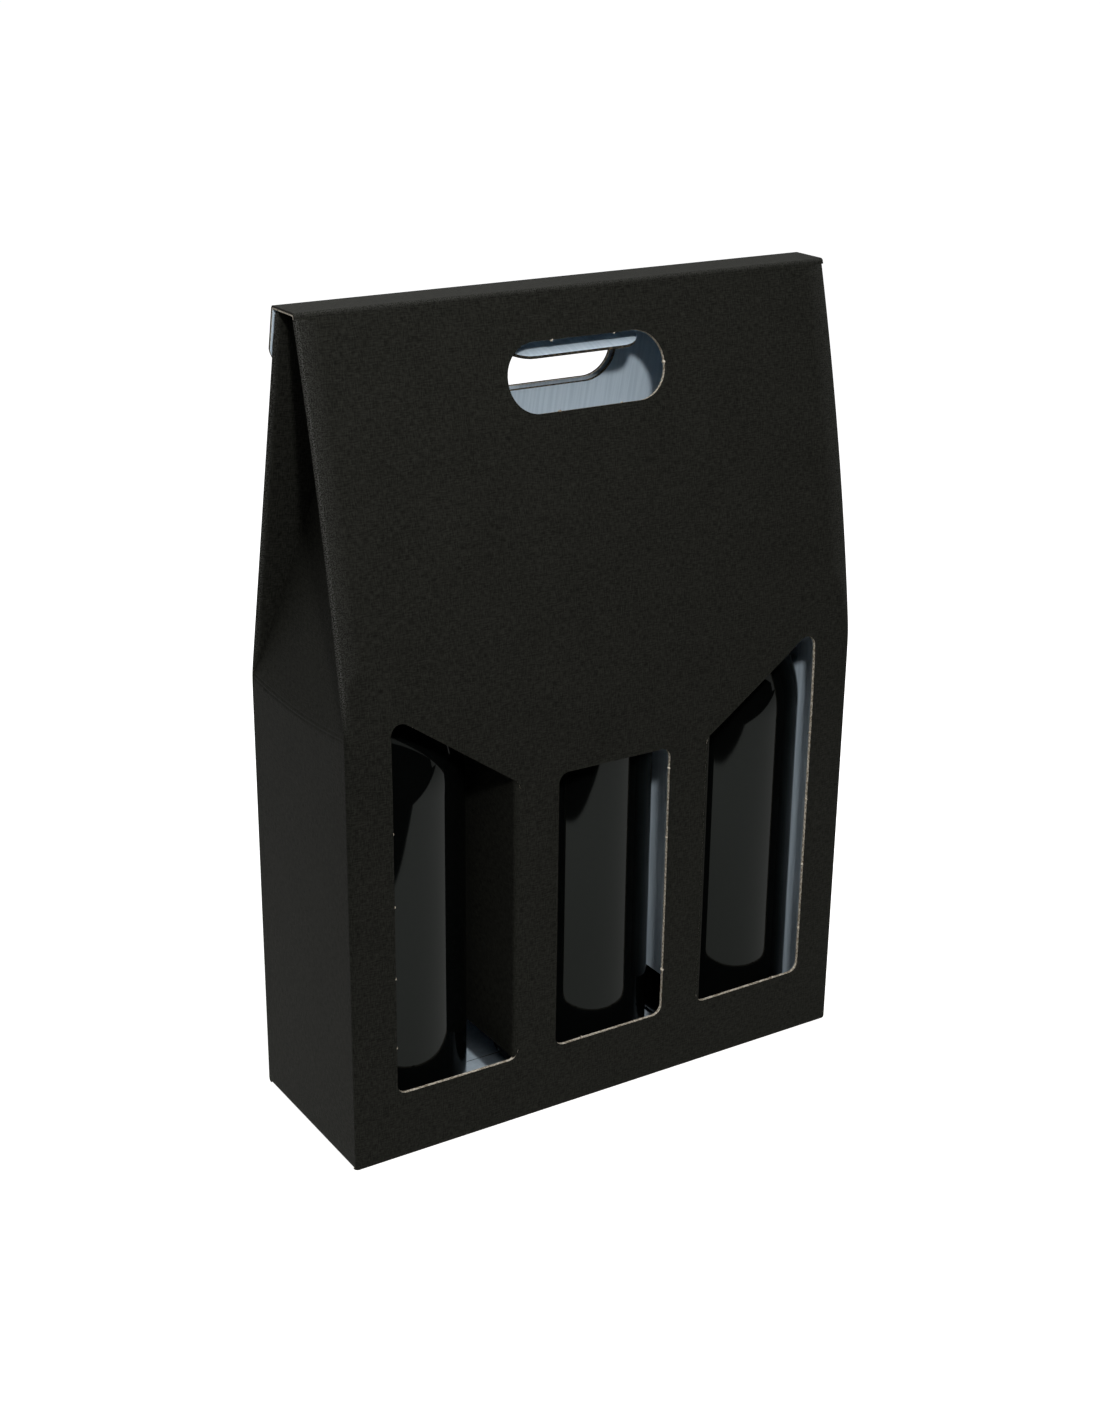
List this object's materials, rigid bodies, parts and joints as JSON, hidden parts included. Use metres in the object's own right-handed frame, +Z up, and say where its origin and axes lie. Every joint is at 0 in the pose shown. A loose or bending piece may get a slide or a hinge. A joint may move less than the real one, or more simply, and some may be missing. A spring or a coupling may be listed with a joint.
{
  "type": "bottle gift box",
  "caption": "Folding board carton for wine bottles: windowed upright box, gable top with folded side gussets, ridge lid with closing flap, and a long hand hole to carry it by.",
  "frame": {"origin": "centre of the base, on the surface that the box stands on", "axes": "+X along the width to the right seen from the front, the windowed front faces -Y, +Z up to the ridge"},
  "size_m": [0.27, 0.0934, 0.3826],
  "materials": {
    "board": "thin fluted board, black and linen-embossed outside, white inside",
    "bottle_glass": "near-black glossy glass",
    "cork": "natural cork"
  },
  "bodies": {
    "carton": {"front_panel": "board", "back_panel": "board", "left_side_panel": "board", "right_side_panel": "board", "bottom_front_flap": "board", "bottom_back_flap": "board", "bottom_left_flap": "board", "bottom_right_flap": "board", "glue_flap": "board"},
    "left_divider": {"left_divider": "board"},
    "right_divider": {"right_divider": "board"},
    "front_gable": {"front_gable_panel": "board"},
    "back_gable": {"back_gable_panel": "board"},
    "ridge": {"ridge_panel": "board"},
    "closing_flap": {"closing_flap": "board"},
    "grip_tab": {"grip_tab": "board"},
    "left_web": {"left_gusset_web": "board"},
    "right_web": {"right_gusset_web": "board"},
    "left_front_flank": {"left_front_flank": "board"},
    "left_back_flank": {"left_back_flank": "board"},
    "right_front_flank": {"right_front_flank": "board"},
    "right_back_flank": {"right_back_flank": "board"},
    "left_bottle": {"left_bottle": "bottle_glass", "left_cork": "cork"},
    "centre_bottle": {"centre_bottle": "bottle_glass", "centre_cork": "cork"},
    "right_bottle": {"right_bottle": "bottle_glass", "right_cork": "cork"}
  },
  "joints": [
    {"name": "lid_open", "type": "hinge", "parent": "front_gable", "child": "ridge", "pos_m": [0, -0.0103, 0.3826], "axis": [1, 0, 0], "range_deg": [0, 110]},
    {"name": "closing_flap_swing", "type": "hinge", "parent": "ridge", "child": "closing_flap", "pos_m": [0, 0.0103, 0.3826], "axis": [1, 0, 0], "range_deg": [0, 137.5]},
    {"name": "front_gable_spread", "type": "hinge", "parent": "carton", "child": "front_gable", "pos_m": [0, -0.0467, 0.2105], "axis": [1, 0, 0], "range_deg": [0, 9.95]},
    {"name": "back_gable_spread", "type": "hinge", "parent": "carton", "child": "back_gable", "pos_m": [0, 0.0467, 0.2105], "axis": [-1, 0, 0], "range_deg": [0, 10.7]},
    {"name": "left_web_stand", "type": "hinge", "parent": "carton", "child": "left_web", "pos_m": [-0.135, 0, 0.2105], "axis": [0, -1, 0], "range_deg": [0, 7.45]},
    {"name": "right_web_stand", "type": "hinge", "parent": "carton", "child": "right_web", "pos_m": [0.135, 0, 0.2105], "axis": [0, 1, 0], "range_deg": [0, 7.45]},
    {"name": "left_front_flank_unfold", "type": "hinge", "parent": "front_gable", "child": "left_front_flank", "pos_m": [-0.1335, -0.0448, 0.2105], "axis": [0, 0.2069, 0.9784], "range_deg": [0, 47.35]},
    {"name": "right_front_flank_unfold", "type": "hinge", "parent": "front_gable", "child": "right_front_flank", "pos_m": [0.1335, -0.0448, 0.2105], "axis": [0, -0.2069, -0.9784], "range_deg": [0, 47.35]},
    {"name": "left_back_flank_unfold", "type": "hinge", "parent": "back_gable", "child": "left_back_flank", "pos_m": [-0.1335, 0.0448, 0.2105], "axis": [0, 0.2197, -0.9756], "range_deg": [0, 50.2]},
    {"name": "right_back_flank_unfold", "type": "hinge", "parent": "back_gable", "child": "right_back_flank", "pos_m": [0.1335, 0.0448, 0.2105], "axis": [0, -0.2197, 0.9756], "range_deg": [0, 50.2]},
    {"name": "grip_tab_fold", "type": "hinge", "parent": "back_gable", "child": "grip_tab", "pos_m": [0, 0.01147, 0.36012], "axis": [1, 0, 0], "range_deg": [0, 97]},
    {"name": "left_divider_swing", "type": "hinge", "parent": "carton", "child": "left_divider", "pos_m": [-0.05325, -0.0452, 0.1], "axis": [0, 0, 1], "range_deg": [-12, 3]},
    {"name": "right_divider_swing", "type": "hinge", "parent": "carton", "child": "right_divider", "pos_m": [0.05325, -0.0452, 0.1], "axis": [0, 0, -1], "range_deg": [-5, 3]},
    {"name": "left_bottle_lift", "type": "slide", "parent": "carton", "child": "left_bottle", "axis": [0, 0, 1], "range_m": [0, 0.006]},
    {"name": "centre_bottle_lift", "type": "slide", "parent": "carton", "child": "centre_bottle", "axis": [0, 0, 1], "range_m": [0, 0.035]},
    {"name": "right_bottle_lift", "type": "slide", "parent": "carton", "child": "right_bottle", "axis": [0, 0, 1], "range_m": [0, 0.006]}
  ],
  "couplings": [
    {"joint": "closing_flap_swing", "follows": "lid_open", "ratio": 1.25},
    {"joint": "front_gable_spread", "follows": "lid_open", "ratio": 0.09038},
    {"joint": "back_gable_spread", "follows": "lid_open", "ratio": 0.09717},
    {"joint": "left_web_stand", "follows": "lid_open", "ratio": 0.06766},
    {"joint": "right_web_stand", "follows": "lid_open", "ratio": 0.06766},
    {"joint": "left_front_flank_unfold", "follows": "lid_open", "ratio": 0.4302},
    {"joint": "right_front_flank_unfold", "follows": "lid_open", "ratio": 0.4302},
    {"joint": "left_back_flank_unfold", "follows": "lid_open", "ratio": 0.456},
    {"joint": "right_back_flank_unfold", "follows": "lid_open", "ratio": 0.456}
  ]
}
